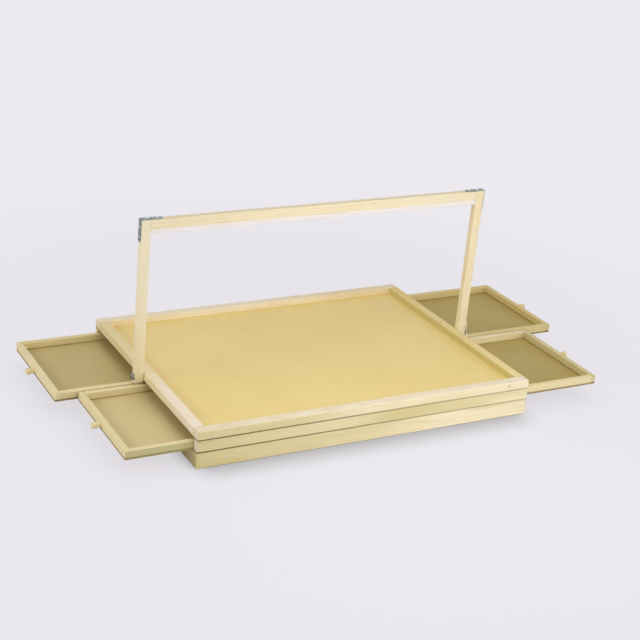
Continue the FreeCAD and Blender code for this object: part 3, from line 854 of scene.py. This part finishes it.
def hardboardSurface(name, look, seed):
    # The back's weave is the sine of x times the sine of y.
    chance = np.random.RandomState(seed)
    fibre = fibreboard
    paint = Paint(name)
    local = paint.position()
    shift = chance.uniform(-fibre["patternShift"], fibre["patternShift"], 3).tolist()
    cloud = paint.noise(paint.stretch(local, fibre["cloudScale"], shift), detail=3)
    pulp = paint.noise(paint.stretch(local, fibre["pulpScale"], shift), detail=3, roughness=0.7)
    strands = []
    for scale in fibre["strandScales"]:
        lines = paint.noise(paint.stretch(local, scale, shift), detail=1)
        strands.append(paint.smooth(lines, *fibre["strandEdge"]))
    strand = paint.maths("MINIMUM", strands[0] + strands[1], 1.0)
    spots = paint.cells(local, fibre["speckScale"], "Distance")
    specks = paint.smooth(spots, *fibre["speckEdge"], 1.0, 0.0)
    specks = specks * paint.smooth(pulp, *fibre["speckPulp"])
    upright = paint.facing()[2]
    under = paint.smooth(upright, *fibre["backFacing"], 1.0, 0.0)
    edge = paint.smooth(paint.maths("ABSOLUTE", upright), *fibre["sideFacing"], 1.0, 0.0)

    colour = paint.blend(paint.smooth(cloud, *fibre["cloudEdge"]), look["face"], look["shade"])
    pulpShare = paint.smooth(pulp, *fibre["pulpEdge"], 0.0, fibre["pulpShare"])
    colour = paint.blend(pulpShare, colour, look["fleck"])
    colour = paint.blend(strand * fibre["strandShare"], colour, look["face"])
    colour = paint.blend(specks * fibre["speckShare"], colour, look["fleck"])
    colour = paint.blend(edge * fibre["sideShare"], colour, look["fleck"])
    waves = [paint.maths("SINE", part * fibre["weaveScale"]) for part in paint.parts(local)[:2]]
    weave = waves[0] * waves[1]
    height = pulp * fibre["pulpHeight"] + weave * under * fibre["weaveHeight"]
    rough = look["roughness"] + pulp * fibre["pulpRoughness"]
    rough = rough + under * fibre["rawRoughness"] + edge * fibre["rawRoughness"]
    return paint.finish({
        "Base Color": colour,
        "Roughness": rough,
        "Specular IOR Level": look["gloss"],
        "Normal": paint.bump(height, fibre["relief"], fibre["reliefStrength"]),
        "Coat Weight": fibre["coat"],
        "Coat Roughness": fibre["coatRoughness"],
    })


workFace = hardboardSurface("work_board_face", boardLook["work"], seeds["workBoard"])
deckFace = hardboardSurface("deck_face", boardLook["left"], seeds["deck"])
dress("work_board", workFace)
dress("base_deck", deckFace)
for number, drawer in enumerate(drawers):
    name = drawer + "_floor"
    look = boardLook[drawerBoards[drawer]]
    dress(name, hardboardSurface(name + "_face", look, seeds["floors"] + number))
print("panels dressed")


# Dull zinc plate over pressed steel: a faint spangle, fine rub marks and duller hollows.
zinc = {
    "plate": linear(170, 180, 177),
    "dull": linear(108, 118, 118),
    "roughness": 0.4,
    "spangleScale": 420.0,
    "spangleShare": 0.3,
    "spangleRoughness": 0.1,
    "rubScale": (300, 2600, 300),
    "rubHeight": 0.4,
    "hazeScale": 90,
    "hazeEdge": (0.4, 0.9),
    "hazeRoughness": 0.15,
    "relief": 0.00006,
    "reliefStrength": 0.4,
}


def zincSurface():
    paint = Paint("zinc_plate")
    local = paint.position()
    cells = paint.cells(local, zinc["spangleScale"], "Color")
    spangle = paint.node("SeparateColor", None, {0: cells}, 0)
    rubs = paint.noise(paint.stretch(local, zinc["rubScale"]))
    haze = paint.noise(local, zinc["hazeScale"], detail=3, roughness=0.6)
    worn = paint.smooth(haze + spangle * zinc["spangleShare"], *zinc["hazeEdge"])
    rough = zinc["roughness"] + spangle * zinc["spangleRoughness"] + haze * zinc["hazeRoughness"]
    height = rubs * zinc["rubHeight"] + haze
    return paint.finish({
        "Base Color": paint.blend(worn, zinc["plate"], zinc["dull"]),
        "Metallic": 1.0,
        "Roughness": rough,
        "Normal": paint.bump(height, zinc["relief"], zinc["reliefStrength"]),
    })


# Turned steel with fine rings about the pivot's axis.
steel = {
    "pivotHeight": 0.068,
    "ringScale": 16000,
    "ringHeight": 0.3,
    "hazeScale": 160,
    "hazeEdge": (0.35, 0.75),
    "hazeRoughness": 0.2,
    "relief": 0.00003,
    "reliefStrength": 0.3,
}
screwSteel = {"bright": linear(232, 233, 232), "grey": linear(188, 190, 190), "roughness": 0.26}
boltSteel = {"bright": linear(168, 166, 162), "grey": linear(118, 116, 114), "roughness": 0.38}


def steelSurface(name, look):
    # The rings are the sine of the distance from the axis.
    paint = Paint(name)
    local = paint.position((0, 0, 0), (0, 0, steel["pivotHeight"]))
    radius = paint.length(paint.stretch(local, (0, 1, 1)))
    rings = paint.maths("SINE", radius * steel["ringScale"])
    haze = paint.noise(local, steel["hazeScale"], detail=3, roughness=0.6)
    worn = paint.smooth(haze, *steel["hazeEdge"])
    height = rings * steel["ringHeight"] + haze
    return paint.finish({
        "Base Color": paint.blend(worn, look["bright"], look["grey"]),
        "Metallic": 1.0,
        "Roughness": look["roughness"] + haze * steel["hazeRoughness"],
        "Normal": paint.bump(height, steel["relief"], steel["reliefStrength"]),
    })


plate = zincSurface()
for name in ("left_corner_bracket", "right_corner_bracket"):
    dress(name, plate)
dress("bracket_screws", steelSurface("bright_screws", screwSteel))
bolts = steelSurface("turned_bolts", boltSteel)
for name in ("left_pivot_bolt", "right_pivot_bolt", "pivot_washers"):
    dress(name, bolts)
print("metal dressed")


# Milky plastic, lit faintly from inside by the strip.
sleeve = {
    "milk": linear(242, 238, 234),
    "edge": linear(234, 229, 224),
    "rippleScale": (14, 300, 300),
    "rippleEdge": (0.3, 0.7),
    "rippleRoughness": 0.1,
    "relief": 0.00004,
    "reliefStrength": 0.2,
    "roughness": 0.42,
    "clearness": 0.25,
    "refraction": 1.45,
    "glow": linear(252, 247, 246),
    "glowStrength": 0.13,
}


def sleeveSurface():
    paint = Paint("milky_plastic")
    ripple = paint.noise(paint.stretch(paint.position(), sleeve["rippleScale"]))
    tone = paint.smooth(ripple, *sleeve["rippleEdge"])
    return paint.finish({
        "Base Color": paint.blend(tone, sleeve["milk"], sleeve["edge"]),
        "Roughness": sleeve["roughness"] + ripple * sleeve["rippleRoughness"],
        "Normal": paint.bump(ripple, sleeve["relief"], sleeve["reliefStrength"]),
        "Transmission Weight": sleeve["clearness"],
        "IOR": sleeve["refraction"],
        "Emission Color": sleeve["glow"],
        "Emission Strength": sleeve["glowStrength"],
    })


dress("led_sleeve", sleeveSurface())

# Small parts: one colour broken up by a fine haze, and a slightly uneven face. Each is a colour, a
# worn colour, a roughness and how metallic it is.
small = {
    "hazeScale": 900,
    "hazeEdge": (0.3, 0.75),
    "hazeRoughness": 0.15,
    "relief": 0.00003,
    "reliefStrength": 0.4,
}
smallLooks = {
    "chip_frame": (linear(246, 245, 240), linear(232, 231, 226), 0.42, 0.0),
    "chip_window": (linear(246, 218, 120), linear(238, 204, 96), 0.3, 0.0),
    "solder": (linear(206, 208, 210), linear(168, 170, 172), 0.28, 1.0),
    "copper_pad": (linear(214, 150, 104), linear(176, 118, 80), 0.34, 1.0),
    "resistor_body": (linear(44, 44, 46), linear(70, 70, 70), 0.4, 0.0),
    "block_plastic": (linear(240, 240, 236), linear(226, 226, 220), 0.4, 0.0),
    "staple_wire": (linear(196, 198, 198), linear(158, 160, 160), 0.3, 1.0),
}
windowGlow = {"Emission Color": linear(255, 244, 214), "Emission Strength": 0.6}


def moulded(name, glow=None):
    colour, worn, roughness, metallic = smallLooks[name]
    paint = Paint(name)
    haze = paint.noise(paint.position(), small["hazeScale"], detail=3, roughness=0.6)
    return paint.finish({
        "Base Color": paint.blend(paint.smooth(haze, *small["hazeEdge"]), colour, worn),
        "Roughness": roughness + haze * small["hazeRoughness"],
        "Metallic": metallic,
        "Normal": paint.bump(haze, small["relief"], small["reliefStrength"]),
        **(glow or {}),
    })


# The light strip: a white flexible circuit with 45 chips, solder dots, resistors, cut marks with
# copper pads, and the block that its lead enters. It hangs face down under the bar. A profile's
# rows are for turnedShape. They are scales of the half widths where these are given, else metres.
tape = {
    "mask": linear(240, 240, 236),
    "maskWorn": linear(226, 227, 222),
    "maskScale": 220,
    "maskRoughness": 0.42,
    "maskHaze": 0.1,
    "chips": 45,
    "cutEvery": 3,
    "bandThickness": 0.0006,
    "bandSides": 96,
    "bandProfile": (
        (0, 0, 20), (0.9995, 0, 20), (1, -0.00009, 20),
        (1, -0.00051, 20), (0.9995, -0.0006, 20), (0, -0.0006, 20),
    ),
    "chipSides": 20,
    "frameProfile": (
        (0, 0.0001, 8), (0.0025, 0.0001, 8), (0.0025, -0.0013, 8), (0.00235, -0.0015, 8),
        (0.002, -0.0015, 2), (0.0018, -0.0012, 2), (0, -0.0012, 2),
    ),
    "windowProfile": (
        (0, -0.0011, 2), (0.001764, -0.0011, 2), (0.001764, -0.00126, 2),
        (0.00108, -0.00134, 2), (0, -0.00138, 2),
    ),
    "tabPlaces": (-0.0016, 0.0, 0.0016),
    "tabReach": 0.0027,
    "tabSides": 8,
    "tabProfile": (
        (0, 0.0001, 2), (0.0005, 0.0001, 2), (0.00048, -0.00015, 2),
        (0.00028, -0.00035, 2), (0, -0.0004, 2),
    ),
    "padPlaces": (-0.0033, -0.0011, 0.0011, 0.0033),
    "padShift": 0.0011,
    "padSides": 10,
    "padProfile": ((0, 0.0001, 3), (0.0009, 0.0001, 3), (0.00088, -0.00005, 3), (0, -0.00006, 3)),
    "resistorHalves": (0.0006, 0.001),
    "resistorSides": 16,
    "resistorProfile": (
        (0, 0.0001, 10), (1, 0.0001, 10), (1, -0.00047, 10),
        (0.9, -0.00055, 10), (0, -0.00055, 10),
    ),
    "endHalves": (0.00063, 0.00025),
    "endSides": 12,
    "endProfile": (
        (0, 0.0001, 8), (1, 0.0001, 8), (1, -0.00055, 8), (0.9, -0.0006, 8), (0, -0.0006, 8),
    ),
    "blockLength": 0.008,
    "blockSides": 48,
    "blockLip": 0.0003,
    "blockLipShare": 0.97,
    "blockGrooveShares": ((1, 0.45), (0.97, 0.5), (0.97, 0.55), (0.99, 0.6)),
    "blockFootShare": 0.92,
    "blockPower": 12,
}


def tapeSurface():
    paint = Paint("strip_mask")
    haze = paint.noise(paint.position(), tape["maskScale"])
    return paint.finish({
        "Base Color": paint.blend(haze, tape["mask"], tape["maskWorn"]),
        "Roughness": tape["maskRoughness"] + haze * tape["maskHaze"],
    })


def blockProfile(depth):
    # A block as deep as the strip, with a groove round its middle. Depths run downwards. The
    # groove's rows are shares of the half widths and of the depth.
    lip, narrow = tape["blockLip"], tape["blockLipShare"]
    rows = [(0, 0), (narrow, 0), (1, lip)]
    rows += [(scale, depth * share) for scale, share in tape["blockGrooveShares"]]
    rows += [(narrow, depth - lip), (tape["blockFootShare"], depth), (0, depth)]
    return [(scale, -down, tape["blockPower"]) for scale, down in rows]


def tapePiece(name, profile, sides, places, material, halves=(1, 1)):
    points, faces = repeated(*turnedShape(profile, sides, halves), places)
    piece = meshPiece(name, points, faces, material, "arch")
    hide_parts("led_strip")


def layTape():
    # Chips stand at even steps. Every third gap between them is a cut mark, and the others hold a
    # resistor each.
    low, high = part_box("led_strip")
    face = high.z - tape["bandThickness"]
    length = high.x - low.x
    halfWidth = (high.y - low.y) / 2
    middles = low.x + length / tape["chips"] * (np.arange(tape["chips"]) + 0.5)
    gaps = (middles[:-1] + middles[1:]) / 2
    every = tape["cutEvery"]
    across, along = tape["resistorHalves"]
    shifts = (-tape["padShift"], tape["padShift"])
    chips = [(middle, 0, face) for middle in middles]
    tabs = [(middle + shift, side * tape["tabReach"], face)
            for middle in middles for shift in tape["tabPlaces"] for side in (-1, 1)]
    pads = [(cut + shift, place, face)
            for cut in gaps[every - 1::every] for shift in shifts for place in tape["padPlaces"]]
    resistors = [(gap, 0, face) for number, gap in enumerate(gaps) if number % every != every - 1]
    ends = [(gap, side * along, face) for gap, _, face in resistors for side in (-1, 1)]
    blockPlace = [(high.x - tape["blockLength"] / 2, 0, high.z)]
    blockHalves = (tape["blockLength"] / 2, halfWidth)
    block = blockProfile(high.z - low.z)
    solder = moulded("solder")

    tapePiece("tape_band", tape["bandProfile"], tape["bandSides"], [(0, 0, high.z)],
              tapeSurface(), (length / 2, halfWidth))
    tapePiece("chip_frames", tape["frameProfile"], tape["chipSides"], chips, moulded("chip_frame"))
    tapePiece("chip_windows", tape["windowProfile"], tape["chipSides"], chips,
              moulded("chip_window", windowGlow))
    tapePiece("solder_dots", tape["tabProfile"], tape["tabSides"], tabs, solder)
    tapePiece("copper_pads", tape["padProfile"], tape["padSides"], pads, moulded("copper_pad"))
    tapePiece("resistors", tape["resistorProfile"], tape["resistorSides"], resistors,
              moulded("resistor_body"), (across, along))
    tapePiece("resistor_ends", tape["endProfile"], tape["endSides"], ends, solder,
              tape["endHalves"])
    tapePiece("lead_block", block, tape["blockSides"], blockPlace, moulded("block_plastic"),
              blockHalves)


# Turned knobs: a neck, a soft step up to a thicker head, and a rounded end.
knob = {
    "neckRadius": 0.005,
    "neckLength": 0.009,
    "headRadius": 0.0064,
    "headLength": 0.0095,
    "endRound": 0.0026,
    "endBulge": (0.0002, 0.0003),
    "tenonRadius": 0.003,
    "tenonLength": 0.009,
    "stepRound": 0.0005,
    "roundSteps": 9,
    "sides": 64,
    "warmth": (0.5, 0.5),
}


def knobOutline():
    # A radius for each place along the axis, from the drawer's face outwards. Straight stretches
    # are joined by quarter circles.
    neck, head, step = knob["neckRadius"], knob["headRadius"], knob["stepRound"]
    tenon, shoulder = knob["tenonLength"], knob["neckLength"]
    tip = shoulder + knob["headLength"]
    end = knob["endRound"]
    nearBulge, farBulge = knob["endBulge"]
    quarter = np.linspace(0, math.pi / 2, knob["roundSteps"])
    sine, cosine = np.sin(quarter), np.cos(quarter)
    stretches = [
        [(-tenon, 0.0), (-tenon, knob["tenonRadius"]), (0.0, knob["tenonRadius"]), (0.0, neck)],
        np.stack([shoulder - step + step * sine, neck + step - step * cosine], 1),
        np.stack([shoulder + step - step * cosine, head - step + step * sine], 1),
        np.stack([tip - end + end * sine, head - end + end * cosine], 1),
        [(tip + nearBulge, (head - end) / 2), (tip + farBulge, 0.0)],
    ]
    return np.concatenate([np.asarray(stretch, float) for stretch in stretches])


def turnKnob(drawer, number):
    # The outline swept round the axis of the CAD's plain knob.
    cadName = drawer + "_knob"
    low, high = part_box(cadName)
    middle = (low + high) / 2
    outwards = -1 if drawer.startswith("left") else 1
    base = (high.x if outwards < 0 else low.x) + outwards * knob["tenonLength"]
    points, faces = roundBody(knobOutline(), knob["sides"])
    points = points * (outwards, 1, 1) + (base, middle.y, middle.z)
    seed = seeds["knobs"] + number
    material = woodSurface(cadName + "_wood", (low, high), "x", seed, knob["warmth"], look=knobPine)
    piece = meshPiece("turned_" + cadName, points, faces, material, drawer)
    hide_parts(cadName)


for number, drawer in enumerate(drawers):
    turnKnob(drawer, number)
print("knobs turned")

layTape()
print("light strip laid")


# Staples hold each drawer's floor to its rails from below, pressed nearly flush. The ends' rows
# are shares of the half length and of the radius.
staple = {
    "length": 0.0095,
    "radius": 0.0006,
    "ends": ((1, 0), (0.985, 0.6), (0.94, 1)),
    "sides": 10,
    "proud": 0.00018,
    "inset": 0.0057,
    "cornerInset": 0.0228,
    "spacing": 0.075,
}


def evenSteps(low, high):
    # Even steps between the corner insets, each about as long as the spacing.
    inset, spacing = staple["cornerInset"], staple["spacing"]
    return np.linspace(low + inset, high - inset, int((high - low - inset) / spacing) + 1)


def stapleDrawer(drawer, material):
    # Each staple is a straight round wire with rounded ends. Rows of them run along the floor's
    # edges: along x at the front and the back, along y at the left and the right.
    low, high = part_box(drawer + "_floor")
    inset = staple["inset"]
    ends = np.array(staple["ends"]) * (staple["length"] / 2, staple["radius"])
    outline = np.concatenate([ends * (-1, 1), ends[::-1]])
    lengthwise, faces = roundBody(outline, staple["sides"])
    level = low.z - staple["proud"] + staple["radius"]
    xs, ys = evenSteps(low.x, high.x), evenSteps(low.y, high.y)
    rowPlaces = [(x, y, level) for x in xs for y in (low.y + inset, high.y - inset)]
    columnPlaces = [(x, y, level) for x in (low.x + inset, high.x - inset) for y in ys]
    rowPoints, rowFaces = repeated(lengthwise, faces, rowPlaces)
    columnPoints, columnFaces = repeated(lengthwise[:, [1, 0, 2]], faces, columnPlaces)
    points = np.concatenate([rowPoints, columnPoints])
    everyFace = np.concatenate([rowFaces, columnFaces + len(rowPoints)])
    meshPiece(drawer + "_staples", points, everyFace, material, drawer)


wire = moulded("staple_wire")
for drawer in drawers:
    stapleDrawer(drawer, wire)
print("drawer floors stapled")
